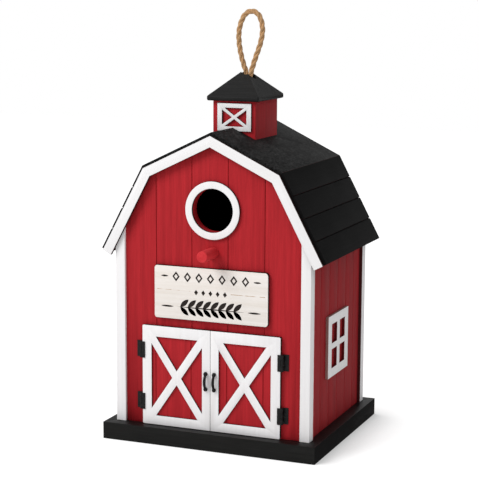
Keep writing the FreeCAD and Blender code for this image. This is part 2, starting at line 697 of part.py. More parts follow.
def make_rope():
    path, radii = rope_path(rope_points)
    along = Vector(*rope_points[1]) - Vector(*rope_points[0])
    radius = value("rope_diameter") / 2
    section = Part.Wire([Part.Circle(Vector(*rope_points[0]), along, radius).toShape()])
    tube = path.makePipeShell([section], True, True)
    print("rope length %.1f, radii %s" % (path.Length, ["%.1f" % item for item in radii]))
    share = tube.Volume / (math.pi * radius ** 2 * path.Length)
    print("rope volume over section times length: %.4f" % share)
    if abs(share - 1) > 0.01:
        raise RuntimeError("the rope's tube lost volume")
    rope = doc.addObject("Part::Feature", "rope_tube")
    rope.Shape = tube
    rope.Placement = FreeCAD.Placement()
    finish(rope, "hanging_rope")

    knot = doc.addObject("Part::Ellipsoid", "rope_knot_solid")
    knot.Angle1 = -90
    knot.Angle2 = 90
    knot.Angle3 = 360
    bind(knot, Radius1="knot_height", Radius2=KNOT_RADIUS, Radius3=KNOT_RADIUS)
    under = roof_height(ROPE_X) + " - roof_thick / cos(upper_pitch)"
    place(knot, ROPE_X, "0", "%s - (%s + knot_gap) / cos(upper_pitch)" % (under, KNOT_REACH))
    finish(knot, "rope_knot")


make_base()
make_end_walls()
for side, sign in sides.items():
    make_side_wall(side, sign)
make_posts()
make_roof()
make_rake_trim()
make_front_fittings()
pins = []
for side, sign in sides.items():
    make_door(side, sign)
    pins.append(make_hinge(side, sign, "lower", DOOR_BOTTOM + " + hinge_rise"))
    pins.append(make_hinge(side, sign, "upper", DOOR_TOP + " - hinge_drop"))
    make_window(side, sign)
group("hinge_pins", pins)
make_cupola()
make_cap()
make_rope()

doc.recompute()
for thing in doc.Objects:
    if "Invalid" in thing.State or "Error" in thing.State:
        raise RuntimeError("%s failed: %s" % (thing.Name, thing.State))
os.makedirs("parts", exist_ok=True)
for node in nodes:
    if node.Shape.isNull() or not node.Shape.isValid():
        raise RuntimeError(node.Label + " has no valid shape")
    node.Shape.exportStep("parts/%s.step" % node.Label)
print(len(nodes), "nodes written")
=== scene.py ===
import json
from math import cos, pi, radians, sin, sqrt, tau

import bmesh
import bpy
from mathutils import Euler, Matrix, Vector


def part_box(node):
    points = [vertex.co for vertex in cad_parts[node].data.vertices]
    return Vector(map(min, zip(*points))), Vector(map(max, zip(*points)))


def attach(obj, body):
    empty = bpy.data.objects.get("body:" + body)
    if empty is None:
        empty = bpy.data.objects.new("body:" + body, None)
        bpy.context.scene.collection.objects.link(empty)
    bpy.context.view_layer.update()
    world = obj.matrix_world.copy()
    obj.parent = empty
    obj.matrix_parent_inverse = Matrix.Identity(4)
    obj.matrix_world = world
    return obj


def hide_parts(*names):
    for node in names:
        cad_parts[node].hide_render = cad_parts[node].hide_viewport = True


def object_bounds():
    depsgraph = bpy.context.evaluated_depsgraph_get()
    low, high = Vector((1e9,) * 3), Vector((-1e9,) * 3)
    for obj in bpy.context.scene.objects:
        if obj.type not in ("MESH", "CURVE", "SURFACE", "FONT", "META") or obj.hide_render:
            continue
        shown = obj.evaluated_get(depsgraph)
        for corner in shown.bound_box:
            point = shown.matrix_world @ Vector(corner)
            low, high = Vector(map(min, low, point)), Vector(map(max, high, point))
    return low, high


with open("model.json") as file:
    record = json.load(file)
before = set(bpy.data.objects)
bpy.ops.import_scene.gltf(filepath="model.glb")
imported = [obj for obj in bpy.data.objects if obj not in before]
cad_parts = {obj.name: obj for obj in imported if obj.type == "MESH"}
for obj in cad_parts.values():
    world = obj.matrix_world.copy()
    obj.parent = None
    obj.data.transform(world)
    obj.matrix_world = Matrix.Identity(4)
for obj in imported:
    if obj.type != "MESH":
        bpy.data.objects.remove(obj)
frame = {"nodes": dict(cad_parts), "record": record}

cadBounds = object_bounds()
scene = bpy.context.scene
cadNodes = frame["nodes"]
bodies = frame["record"]["behaviour"]["bodies"]
bodyOf = {node: body for body, nodes in bodies.items() for node in nodes}
sides = {"left": -1, "right": 1}


# Camera

cameraView = {"lens": 112.78, "azimuth": 22.17, "elevation": 9.35, "roll": 0.28,
              "distance": 1.368, "aim": (-0.0074, 0.0077, 0.1716)}


def makeCamera(view):
    across, up = radians(view["azimuth"]), radians(view["elevation"])
    back = Vector((sin(across) * cos(up), -cos(across) * cos(up), sin(up)))
    data = bpy.data.cameras.new("camera")
    data.lens = view["lens"]
    camera = bpy.data.objects.new("camera", data)
    scene.collection.objects.link(camera)
    roll = Matrix.Rotation(radians(view["roll"]), 4, "Z")
    turn = (-back).to_track_quat("-Z", "Y").to_matrix().to_4x4() @ roll
    camera.location = Vector(view["aim"]) + back * view["distance"]
    camera.rotation_euler = turn.to_euler()
    scene.camera = camera


makeCamera(cameraView)
print("camera ready")


# Node helpers, for materials and Geometry Nodes alike

def add(tree, kind, inputs=None, **settings):
    node = tree.nodes.new(kind)
    for name, value in settings.items():
        setattr(node, name, value)
    for name, value in (inputs or {}).items():
        socket = node.inputs[name]
        if isinstance(value, bpy.types.NodeSocket):
            tree.links.new(value, socket)
        else:
            socket.default_value = value
    return node


def new(tree, kind, inputs=None, **settings):
    # a new node's first output
    return add(tree, kind, inputs, **settings).outputs[0]


def calc(tree, operation, *values):
    return new(tree, "ShaderNodeMath", dict(enumerate(values)), operation=operation)


def vectorCalc(tree, operation, *values):
    return new(tree, "ShaderNodeVectorMath", dict(enumerate(values)), operation=operation)


def scaled(tree, vector, factor):
    return new(tree, "ShaderNodeVectorMath", {"Vector": vector, "Scale": factor},
               operation="SCALE")


def newTree(name, sockets):
    tree = bpy.data.node_groups.new(name, "GeometryNodeTree")
    tree.is_modifier = True
    tree.interface.new_socket("Geometry", in_out="OUTPUT", socket_type="NodeSocketGeometry")
    tree.interface.new_socket("Geometry", in_out="INPUT", socket_type="NodeSocketGeometry")
    for label, kind in sockets.items():
        tree.interface.new_socket(label, in_out="INPUT", socket_type="NodeSocket" + kind)
    return tree, add(tree, "NodeGroupInput").outputs, add(tree, "NodeGroupOutput").inputs[0]


def stored(tree, geometry, name, value, kind="FLOAT_VECTOR"):
    return new(tree, "GeometryNodeStoreNamedAttribute",
               {"Geometry": geometry, "Name": name, "Value": value}, data_type=kind,
               domain="POINT")


def recalled(tree, name, kind="FLOAT_VECTOR"):
    return new(tree, "GeometryNodeInputNamedAttribute", {"Name": name}, data_type=kind)


def coated(tree, geometry, material, chosen=True):
    return new(tree, "GeometryNodeSetMaterial", {"Geometry": geometry, "Selection": chosen,
                                                 "Material": material})


def meshPiece(name, mesh):
    piece = bpy.data.objects.new(name, mesh)
    scene.collection.objects.link(piece)
    return piece


def plainMesh(source, name):
    bpy.context.view_layer.update()
    graph = bpy.context.evaluated_depsgraph_get()
    mesh = bpy.data.meshes.new_from_object(source.evaluated_get(graph), depsgraph=graph,
                                           preserve_all_data_layers=True)
    mesh.name = name
    return mesh


def grow(name, tree, values, mesh=None):
    source = meshPiece(name + "Source", mesh or bpy.data.meshes.new(name + "Source"))
    modifier = source.modifiers.new(tree.name, "NODES")
    modifier.node_group = tree
    for item in tree.interface.items_tree:
        if item.in_out == "INPUT" and item.name in values:
            modifier[item.identifier] = values[item.name]
    piece = meshPiece(name, plainMesh(source, name))
    bpy.data.objects.remove(source)
    return piece


def settle(piece, body, nodes):
    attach(piece, body)
    if nodes:
        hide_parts(*nodes)
    return piece


# Materials

def startMaterial(name, roughness, specular, metallic=0.0):
    material = bpy.data.materials.new(name)
    material.use_nodes = True
    tree = material.node_tree
    shader = tree.nodes["Principled BSDF"]
    shader.inputs["Roughness"].default_value = roughness
    shader.inputs["Specular IOR Level"].default_value = specular
    shader.inputs["Metallic"].default_value = metallic
    return material, tree, shader


def rgb(color):
    shades = [value / 255 for value in color]
    return [value / 12.92 if value < 0.04045 else ((value + 0.055) / 1.055) ** 2.4
            for value in shades] + [1.0]


def mixed(tree, factor, first, second):
    node = add(tree, "ShaderNodeMix", {0: factor, 6: first, 7: second}, data_type="RGBA")
    return node.outputs[2]


def ranged(tree, value, low, high, fromLow=0.0, fromHigh=1.0):
    node = add(tree, "ShaderNodeMapRange", {"Value": value, "From Min": fromLow,
               "From Max": fromHigh, "To Min": low, "To Max": high})
    return node.outputs[0]


def noise(tree, place, scale, detail=2.0, roughness=0.55):
    return new(tree, "ShaderNodeTexNoise", {"Vector": place, "Scale": scale, "Detail": detail,
               "Roughness": roughness})


def bumped(tree, shader, heights):
    normal = None
    for height, strength, distance in heights:
        inputs = {"Height": height, "Strength": strength, "Distance": distance}
        if normal:
            inputs["Normal"] = normal
        normal = new(tree, "ShaderNodeBump", inputs)
    tree.links.new(normal, shader.inputs["Normal"])


grainTurns = {"Z": (0, 0, 0), "Y": (90, 0, 0), "X": (0, -90, 0)}
woodGrain = {"streakDetail": 6.0, "streakRough": 0.62, "streakRange": (0.35, 0.75),
             "poreScale": 4.5, "poreDetail": 3.0, "poreRough": 0.6, "poreRange": (0.3, 0.7),
             "poreBump": 0.6, "streakDepth": 0.0003, "poreDepth": 0.0001}


def paintedWood(name, look, grain="Z", plank=None, **changes):
    # grain is an axis letter, or degrees from upright toward +X
    look = dict(look, **changes)
    material, tree, shader = startMaterial(name, look["roughness"][0], look["specular"])
    turn = grainTurns[grain] if grain in grainTurns else (0, -grain, 0)
    turn = [radians(angle) for angle in turn]
    place = add(tree, "ShaderNodeTexCoord").outputs["Object"]
    tone = 0.5
    if plank:
        across = add(tree, "ShaderNodeSeparateXYZ", {0: place}).outputs[plank["axis"]]
        count = calc(tree, "DIVIDE", calc(tree, "SUBTRACT", across, plank["shift"]),
                     plank["pitch"])
        count = calc(tree, "FLOOR", calc(tree, "ADD", count, plank["phase"]))
        chance = add(tree, "ShaderNodeTexWhiteNoise", {"W": count}, noise_dimensions="1D")
        tone = chance.outputs["Value"]
        place = vectorCalc(tree, "ADD", place, chance.outputs["Color"])
    turned = new(tree, "ShaderNodeMapping", {"Vector": place, "Rotation": turn})
    long = new(tree, "ShaderNodeMapping", {"Vector": turned,
               "Scale": (1.0, 1.0, look["stretch"])})
    streaks = noise(tree, long, look["grainScale"], woodGrain["streakDetail"],
                    woodGrain["streakRough"])
    pores = noise(tree, long, look["grainScale"] * woodGrain["poreScale"],
                  woodGrain["poreDetail"], woodGrain["poreRough"])
    cloud = noise(tree, turned, look["cloudScale"])
    pebble = noise(tree, turned, look["pebbleScale"])
    color = mixed(tree, ranged(tree, streaks, 0.0, look["streak"], *woodGrain["streakRange"]),
                  rgb(look["color"]), rgb(look["shade"]))
    light = calc(tree, "MULTIPLY", calc(tree, "SUBTRACT", tone, 0.5), look["tone"])
    light = calc(tree, "ADD", light, ranged(tree, cloud, 1 - look["cloud"], 1 + look["cloud"]))
    light = calc(tree, "MULTIPLY", light, ranged(tree, pores, 1 - look["pore"],
                                                 1 + look["pore"], *woodGrain["poreRange"]))
    color = vectorCalc(tree, "MULTIPLY", color, light)
    tree.links.new(color, shader.inputs["Base Color"])
    tree.links.new(ranged(tree, cloud, *look["roughness"]), shader.inputs["Roughness"])
    bumped(tree, shader, [
        (streaks, look["grainBump"], woodGrain["streakDepth"]),
        (pores, look["grainBump"] * woodGrain["poreBump"], woodGrain["poreDepth"]),
        (pebble, look["pebbleBump"], woodGrain["poreDepth"])])
    return material


redLook = {"color": (178, 36, 43), "shade": (150, 26, 33), "streak": 0.85, "tone": 0.05,
           "cloud": 0.04, "pore": 0.09, "grainScale": 260.0, "stretch": 0.035,
           "cloudScale": 30.0, "pebbleScale": 1600.0, "roughness": (0.6, 0.75),
           "specular": 0.13, "grainBump": 0.5, "pebbleBump": 0.25}
whiteLook = dict(redLook, color=(238, 237, 238), shade=(229, 227, 226), streak=0.6, tone=0.0,
                 cloud=0.01, pore=0.012, specular=0.2, grainBump=0.2, pebbleBump=0.15)
blackLook = dict(redLook, color=(31, 31, 31), shade=(21, 21, 21), streak=0.8, tone=0.1,
                 cloud=0.1, pore=0.25, roughness=(0.5, 0.65), specular=0.12, grainBump=0.6,
                 pebbleBump=0.4)

plankBands = {
    "front": {"axis": 0, "pitch": 0.0338, "shift": -0.002, "phase": 0.5},
    "side": {"axis": 1, "pitch": 0.0225, "shift": 0.003, "phase": 0.0},
}

redFront = paintedWood("redPaintFront", redLook, plank=plankBands["front"])
# painted shade: the side walls and the cupola's sides take a darker red than the front walls
redSideShaded = paintedWood("redPaintSideShaded", redLook, plank=plankBands["side"],
                      color=(153, 28, 34), shade=(127, 20, 26))
redPlain = paintedWood("redPaintPlain", redLook)
# painted highlight: the perch takes a lighter red than the walls, as if lit
redPerchLit = paintedWood("redPaintPerchLit", redLook, "Y", color=(204, 52, 58), shade=(186, 40, 46))
grooveRed = paintedWood("redPaintInGroove", redLook, color=(176, 36, 42), shade=(150, 28, 33))
# painted shade: the window frames' inner edges take a dark red, standing in for the shaded
# panes
paneRedShaded = paintedWood("redPaintInPaneShaded", redLook, color=(104, 20, 26), shade=(84, 14, 19))
# the roof's underside: its red paint, darkened further by painted shade under the eaves
soffitPaintAndShade = paintedWood("soffitPaintAndShade", redLook, "Y", color=(74, 20, 22), shade=(50, 13, 15))
charredEdge = paintedWood("charredEdge", redLook, color=(48, 26, 20), shade=(22, 12, 10),
                          streak=0.9, tone=0.0, cloud=0.15, pore=0.2, specular=0.12,
                          roughness=(0.75, 0.9), stretch=1.0)
signInk = paintedWood("signInk", redLook, "X", color=(42, 36, 33), shade=(30, 25, 23),
                      tone=0.0, specular=0.15, roughness=(0.7, 0.85))
whitePaint = paintedWood("whitePaint", whiteLook)
# the window frames' outer rim: a pinkish grey, partly the frame's sawn edge and partly painted
# shade
windowRim = paintedWood("windowRim", whiteLook, color=(152, 120, 114), shade=(130, 98, 92))
cream = paintedWood("creamPaint", whiteLook, "X", color=(236, 231, 226),
                    shade=(221, 212, 202), streak=0.8, cloud=0.02, pore=0.02,
                    grainScale=220.0, grainBump=0.35)
blackBase = paintedWood("blackPaintBase", blackLook, "X", color=(26, 26, 25),
                        shade=(17, 17, 16))
# painted shade: the base's top takes a darker, glossier black than its front
blackBaseTopShaded = paintedWood("blackPaintBaseTopShaded", blackLook, "X", color=(20, 19, 19),
                           shade=(12, 11, 11), specular=0.16, roughness=(0.4, 0.5))
# painted shade: the base's ends take a darker black still
blackBaseEndShaded = paintedWood("blackPaintBaseEndShaded", blackLook, "Y", color=(13, 13, 13),
                           shade=(7, 7, 7), specular=0.03)
blackRoof = paintedWood("blackPaintRoof", blackLook, "Y", color=(39, 39, 39),
                        shade=(12, 12, 12), streak=1.0, pore=1.0, grainScale=130.0,
                        pebbleScale=420.0, pebbleBump=1.6, stretch=0.55, specular=0.05)
blackCourse = paintedWood("blackPaintCourse", blackLook, "Y", color=(15, 15, 15),
                          shade=(9, 9, 9), specular=0.06, roughness=(0.65, 0.8))
blackCap = paintedWood("blackPaintCap", blackLook, "X", color=(36, 36, 36),
                       shade=(22, 22, 22), pebbleScale=600.0, pebbleBump=1.2, specular=0.1)
# painted shade: the inside of the house and the rope's bores are painted near black
insidePaintedShade = paintedWood("insidePaintedShade", blackLook, color=(12, 9, 8), shade=(7, 5, 5),
                          specular=0.1, roughness=(0.85, 0.95))
metalGrain = {"detail": 4.0, "range": (0.3, 0.7), "depth": 0.0001, "speckDepth": 0.00005}


def metalFinish(name, look):
    material, tree, shader = startMaterial(name, look["roughness"][0], look["specular"],
                                           look["metallic"])
    place = add(tree, "ShaderNodeTexCoord").outputs["Object"]
    cloud = noise(tree, place, look["cloudScale"], metalGrain["detail"])
    speck = noise(tree, place, look["speckScale"])
    color = mixed(tree, ranged(tree, cloud, 0.0, 1.0, *metalGrain["range"]),
                  rgb(look["color"]), rgb(look["shade"]))
    tree.links.new(color, shader.inputs["Base Color"])
    tree.links.new(ranged(tree, speck, *look["roughness"]), shader.inputs["Roughness"])
    bumped(tree, shader, [(cloud, look["bump"], metalGrain["depth"]),
                          (speck, look["bump"], metalGrain["speckDepth"])])
    return material


blackMetal = metalFinish("blackMetal", {
    "color": (24, 24, 24), "shade": (14, 14, 14), "roughness": (0.4, 0.52), "specular": 0.2,
    "metallic": 0.0, "cloudScale": 700.0, "speckScale": 4000.0, "bump": 0.3})
steel = metalFinish("steel", {
    "color": (188, 188, 190), "shade": (160, 161, 165), "roughness": (0.24, 0.4),
    "specular": 0.5, "metallic": 1.0, "cloudScale": 500.0, "speckScale": 5000.0, "bump": 0.2})


def juteFibre(name, look):
    # reads fibreMap, the strand laid out straight along Z
    material, tree, shader = startMaterial(name, look["roughness"], look["specular"])
    place = add(tree, "ShaderNodeAttribute", attribute_name="fibreMap").outputs["Vector"]
    long = new(tree, "ShaderNodeMapping", {"Vector": place,
               "Scale": (1.0, 1.0, look["stretch"])})
    fibres = noise(tree, long, look["fibreScale"], *look["fibreNoise"])
    patches = noise(tree, place, look["patchScale"])
    color = mixed(tree, ranged(tree, fibres, 0.0, 1.0, *look["fibreRange"]),
                  rgb(look["dark"]), rgb(look["light"]))
    color = mixed(tree, ranged(tree, patches, 0.0, look["warm"], *look["patchRange"]), color,
                  rgb(look["patch"]))
    tree.links.new(color, shader.inputs["Base Color"])
    bumped(tree, shader, [(fibres, look["bump"], look["depth"])])
    shader.inputs["Sheen Weight"].default_value = look["sheen"]
    return material


jute = juteFibre("juteRope", {
    "light": (222, 184, 136), "dark": (128, 88, 52), "patch": (198, 150, 104), "warm": 0.6,
    "stretch": 0.08, "fibreScale": 5200.0, "fibreNoise": (4.0, 0.7),
    "fibreRange": (0.35, 0.68), "patchScale": 240.0, "patchRange": (0.4, 0.7),
    "roughness": 0.85, "specular": 0.2, "sheen": 0.15, "bump": 0.8, "depth": 0.0002})
print("materials ready")


# Hanging rope: three strands laid round the route, and its knot under the ridge

rope = {"diameter": 0.0050, "length": 0.2432, "strands": 3, "lay": 0.0195, "step": 0.0009,
        "yarns": 7, "yarnPoints": 4, "yarnDepth": 0.14, "yarnLay": 0.0105, "fullness": 1.17,
        "routeSteps": 16, "routeOrder": 3}
ropeRoute = [
    (0.0052, -0.0026, 0.2630), (0.0048, -0.0026, 0.2800), (0.0052, -0.0026, 0.2990),
    (0.0050, -0.0026, 0.3180), (0.0109, -0.0019, 0.3375), (0.0153, -0.0009, 0.3495),
    (0.0172, -0.0002, 0.3615), (0.0153, 0.0000, 0.3708), (0.0118, 0.0001, 0.3763),
    (0.0063, 0.0001, 0.3781), (0.0009, 0.0002, 0.3762), (-0.0033, 0.0003, 0.3702),
    (-0.0063, 0.0006, 0.3600), (-0.0059, 0.0010, 0.3475), (-0.0030, 0.0019, 0.3335),
    (0.0029, 0.0027, 0.3180), (0.0050, 0.0026, 0.2990), (0.0048, 0.0026, 0.2810),
    (0.0052, 0.0026, 0.2630),
]


def ropeTree():
    tree, given, result = newTree("ropeStrands", {
        "Strands": "Int", "Lay": "Float", "Strand Offset": "Float", "Strand Radius": "Float",
        "Yarns": "Int", "Yarn Depth": "Float", "Yarn Lay": "Float", "Step": "Float",
        "Material": "Material"})
    path = new(tree, "GeometryNodeMeshToCurve", {"Mesh": given["Geometry"]})
    path = new(tree, "GeometryNodeResampleCurve", {"Curve": path, "Length": given["Step"]},
               mode="LENGTH")
    path = new(tree, "GeometryNodeSetCurveNormal", {"Curve": path}, mode="MINIMUM_TWIST")
    copies = add(tree, "GeometryNodeDuplicateElements",
                 {"Geometry": path, "Amount": given["Strands"]}, domain="SPLINE")
    along = add(tree, "GeometryNodeSplineParameter").outputs["Length"]
    share = calc(tree, "DIVIDE", copies.outputs["Duplicate Index"], given["Strands"])
    turns = calc(tree, "ADD", calc(tree, "DIVIDE", along, given["Lay"]), share)
    angle = calc(tree, "MULTIPLY", turns, tau)
    normal = new(tree, "GeometryNodeInputNormal")
    tangent = new(tree, "GeometryNodeInputTangent")
    beside = vectorCalc(tree, "CROSS_PRODUCT", tangent, normal)
    out = vectorCalc(tree, "ADD", scaled(tree, normal, calc(tree, "COSINE", angle)),
                     scaled(tree, beside, calc(tree, "SINE", angle)))
    moved = add(tree, "GeometryNodeSetPosition", {
        "Geometry": copies.outputs[0], "Offset": scaled(tree, out, given["Strand Offset"])})
    strand = new(tree, "GeometryNodeSetCurveNormal", {"Curve": moved.outputs[0]},
                 mode="MINIMUM_TWIST")
    tilt = calc(tree, "MULTIPLY", calc(tree, "DIVIDE", along, given["Yarn Lay"]), -tau)
    strand = new(tree, "GeometryNodeSetCurveTilt", {"Curve": strand, "Tilt": tilt})
    shifted = calc(tree, "ADD", along, share)
    strand = stored(tree, strand, "fibreAlong", shifted, "FLOAT")
    inner = calc(tree, "MULTIPLY", given["Strand Radius"],
                 calc(tree, "SUBTRACT", 1.0, given["Yarn Depth"]))
    profile = new(tree, "GeometryNodeCurveStar", {
        "Points": given["Yarns"], "Inner Radius": inner,
        "Outer Radius": given["Strand Radius"]})
    profile = new(tree, "GeometryNodeCurveSplineType", {"Curve": profile},
                  spline_type="CATMULL_ROM")
    points = calc(tree, "MULTIPLY", given["Yarns"], rope["yarnPoints"])
    profile = new(tree, "GeometryNodeResampleCurve", {"Curve": profile, "Count": points})
    place = new(tree, "GeometryNodeInputPosition")
    profile = stored(tree, profile, "fibreRound", place)
    skin = new(tree, "GeometryNodeCurveToMesh", {"Curve": strand, "Profile Curve": profile,
                                                 "Fill Caps": True})
    straight = new(tree, "ShaderNodeCombineXYZ", {"Z": recalled(tree, "fibreAlong", "FLOAT")})
    laidOut = vectorCalc(tree, "ADD", recalled(tree, "fibreRound"), straight)
    skin = stored(tree, skin, "fibreMap", laidOut)
    skin = new(tree, "GeometryNodeSetShadeSmooth", {"Geometry": skin})
    skin = new(tree, "GeometryNodeRealizeInstances", {"Geometry": skin})
    skin = coated(tree, skin, given["Material"])
    tree.links.new(skin, result)
    return tree


def routeMesh(route):
    data = bpy.data.curves.new("ropeRoute", "CURVE")
    data.dimensions = "3D"
    data.resolution_u = rope["routeSteps"]
    spline = data.splines.new("NURBS")
    spline.points.add(len(route) - 1)
    for point, place in zip(spline.points, route):
        point.co = (*place, 1.0)
    spline.order_u = rope["routeOrder"]
    spline.use_endpoint_u = True
    curve = bpy.data.objects.new("ropeRoute", data)
    scene.collection.objects.link(curve)
    mesh = plainMesh(curve, "ropeRoute")
    bpy.data.objects.remove(curve)
    return mesh


def strandSizes(width, settings):
    # strands that touch one another fill a circle of this width
    strand = width / 2 / (1 + 1 / sin(pi / settings["strands"]))
    strand *= settings["fullness"]
    return {"Strands": settings["strands"], "Lay": settings["lay"], "Strand Radius": strand,
            "Strand Offset": width / 2 - strand, "Yarns": settings["yarns"],
            "Yarn Depth": settings["yarnDepth"], "Yarn Lay": settings["yarnLay"],
            "Step": settings["step"], "Material": jute}


knot = {"width": 0.0034, "lay": 0.011, "points": 180}


def knotMesh():
    low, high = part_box("rope_knot")
    middle = (low + high) / 2
    reach = (high - low) / 2
    flat = (reach.x - knot["width"] / 2) / 3
    tall = reach.z - knot["width"] / 2
    points = []
    for i in range(knot["points"]):
        turn = tau * i / (knot["points"] - 1)
        points.append(middle + Vector((flat * (sin(turn) + 2 * sin(2 * turn)),
                                       flat * (cos(turn) - 2 * cos(2 * turn)),
                                       -tall * sin(3 * turn))))
    mesh = bpy.data.meshes.new("knotPath")
    mesh.from_pydata(points, [(i, i + 1) for i in range(len(points) - 1)], [])
    return mesh


def makeRope():
    tree = ropeTree()
    route = routeMesh(ropeRoute)
    strands = grow("hangingRope", tree, strandSizes(rope["diameter"], rope), route)
    tied = grow("ropeKnot", tree, strandSizes(knot["width"], dict(rope, lay=knot["lay"])),
                knotMesh())
    settle(tied, "house", ["rope_knot"])
    settle(strands, "house", ["hanging_rope"])
    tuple(ropeRoute[0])


makeRope()
print("rope ready")


# Boards: each is its CAD solid with its long edges eased, and a finish for each of its faces

boardEdges = {"segments": 3, "sharp": 28.0, "weld": 0.000001, "flat": 0.6, "facing": 0.7}


def mergedMesh(node):
    grid = bmesh.new()
    grid.from_mesh(cadNodes[node].data)
    bmesh.ops.remove_doubles(grid, verts=grid.verts, dist=boardEdges["weld"])
    bmesh.ops.dissolve_limit(grid, angle_limit=radians(boardEdges["flat"]),
                             verts=grid.verts, edges=grid.edges)
    bmesh.ops.connect_verts_concave(grid, faces=grid.faces)
    return grid


def closeMesh(grid, name, smooth=True):
    mesh = bpy.data.meshes.new(name)
    grid.to_mesh(mesh)
    grid.free()
    mesh.polygons.foreach_set("use_smooth", [smooth] * len(mesh.polygons))
    return mesh


def eased(name, node, ease, materials, rule=None, weight=None):
    # rule gives a face's place in materials, and weight a share of the easing for an edge
    grid = mergedMesh(node)
    sharp = radians(boardEdges["sharp"])
    for face in grid.faces:
        face.material_index = rule(face.normal, face.calc_center_median()) if rule else 0
    if weight:
        layer = grid.edges.layers.float.new("bevel_weight_edge")
        for edge in grid.edges:
            if len(edge.link_faces) == 2 and edge.calc_face_angle() > sharp:
                edge[layer] = weight((edge.verts[0].co + edge.verts[1].co) / 2)
                edge.smooth = edge[layer] > 0
    mesh = closeMesh(grid, name)
    for material in materials:
        mesh.materials.append(material)
    piece = meshPiece(name, mesh)
    bevel = piece.modifiers.new("eased", "BEVEL")
    bevel.width = ease
    bevel.segments = boardEdges["segments"]
    bevel.limit_method = "WEIGHT" if weight else "ANGLE"
    bevel.angle_limit = sharp
    bevel.harden_normals = True
    bevel.miter_outer = "MITER_ARC"
    return piece


def camel(*words):
    whole = "_".join(words).split("_")
    return whole[0] + "".join(word.capitalize() for word in whole[1:])


def board(node, ease, materials, rule=None, weight=None):
    piece = eased(camel(node), node, ease, materials, rule, weight)
    return settle(piece, bodyOf[node], [node])


def facing(way):
    return lambda normal, centre: 0 if normal.dot(way) > boardEdges["facing"] else 1


outward = {"front": Vector((0, -1, 0)), "back": Vector((0, 1, 0)), "left": Vector((-1, 0, 0)),
           "right": Vector((1, 0, 0))}


# Base board

baseBoard = {"ease": 0.0009, "hole": 0.006, "holeEdge": 0.001, "holeShare": 0.12}


def makeBase():
    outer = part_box("base_screws")[1]
    reach = outer - Vector((baseBoard["hole"], baseBoard["hole"], 0))

    def weight(place):
        # the screws' holes are eased less than the board
        nearScrew = abs(place.x) > reach.x and abs(place.y) > reach.y
        past = max(abs(place.x) - outer.x, abs(place.y) - outer.y)
        return baseBoard["holeShare"] if nearScrew and past < baseBoard["holeEdge"] else 1.0

    # the top and the two ends take darker copies of the black: painted shade
    def rule(normal, centre):
        if normal.z > boardEdges["facing"]:
            return 1
        return 2 if abs(normal.x) > boardEdges["facing"] else 0

    board("base", baseBoard["ease"], [blackBase, blackBaseTopShaded, blackBaseEndShaded],
          rule, weight)


makeBase()


# Walls: planks, grooves, the inside painted near black as shade, and the painted rim of each
# opening

wall = {"ease": 0.00012, "groove": 0.0008, "skin": 0.00004, "flatEnd": 0.9}


def wallRule(node, way):
    low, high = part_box(node)
    outer = max(way.dot(low), way.dot(high))

    def rule(normal, centre):
        depth = outer - way.dot(centre)
        if depth < wall["skin"]:
            return 0
        if depth < wall["groove"] and abs(normal.z) < wall["flatEnd"]:
            return 1
        return 2 if normal.dot(way) < -boardEdges["facing"] else 3
    return rule


post = {"ease": 0.0004, "red": (-0.0662, 0.0662), "seam": 0.0022, "seamRed": (66, 14, 16),
        "waver": 0.0002, "waverScale": 120.0, "waverRange": (0.3, 0.7)}


def postPaint():
    # white by the corners, and red between two brushed lines, with a painted shadow line, dark
    # red, at the back one where the post meets the wall
    material = paintedWood("postPaint", whiteLook)
    tree = material.node_tree
    socket = tree.nodes["Principled BSDF"].inputs["Base Color"]
    place = add(tree, "ShaderNodeTexCoord").outputs["Object"]
    y = add(tree, "ShaderNodeSeparateXYZ", {0: place}).outputs[1]
    waver = ranged(tree, noise(tree, place, post["waverScale"]), -post["waver"],
                   post["waver"], *post["waverRange"])
    edge = calc(tree, "ADD", y, waver)
    front, back = post["red"]
    inside = calc(tree, "MULTIPLY", calc(tree, "GREATER_THAN", edge, front),
                  calc(tree, "LESS_THAN", edge, back))
    # painted shadow: a dark red line along the back line
    seam = calc(tree, "GREATER_THAN", edge, back - post["seam"])
    red = mixed(tree, seam, rgb(redLook["color"]), rgb(post["seamRed"]))
    tree.links.new(mixed(tree, inside, socket.links[0].from_socket, red), socket)
    return material


def makeWalls():
    for side, way in outward.items():
        node = side + "_wall"
        # painted shade: the side walls take the darker red
        paint = redFront if way.y else redSideShaded
        board(node, wall["ease"], [paint, grooveRed, insidePaintedShade, redPlain],
              wallRule(node, way))
    paint = postPaint()
    for end in ("front", "back"):
        for side in sides:
            board("corner_post_%s_%s" % (end, side), post["ease"], [paint])


makeWalls()
print("base, walls and posts ready")


# Roof: ridge boards, first courses, and the lower courses repeated down each slope

roof = {"ridgeEase": 0.0004, "courseEase": 0.0002, "soffit": -0.3, "gable": 0.5}


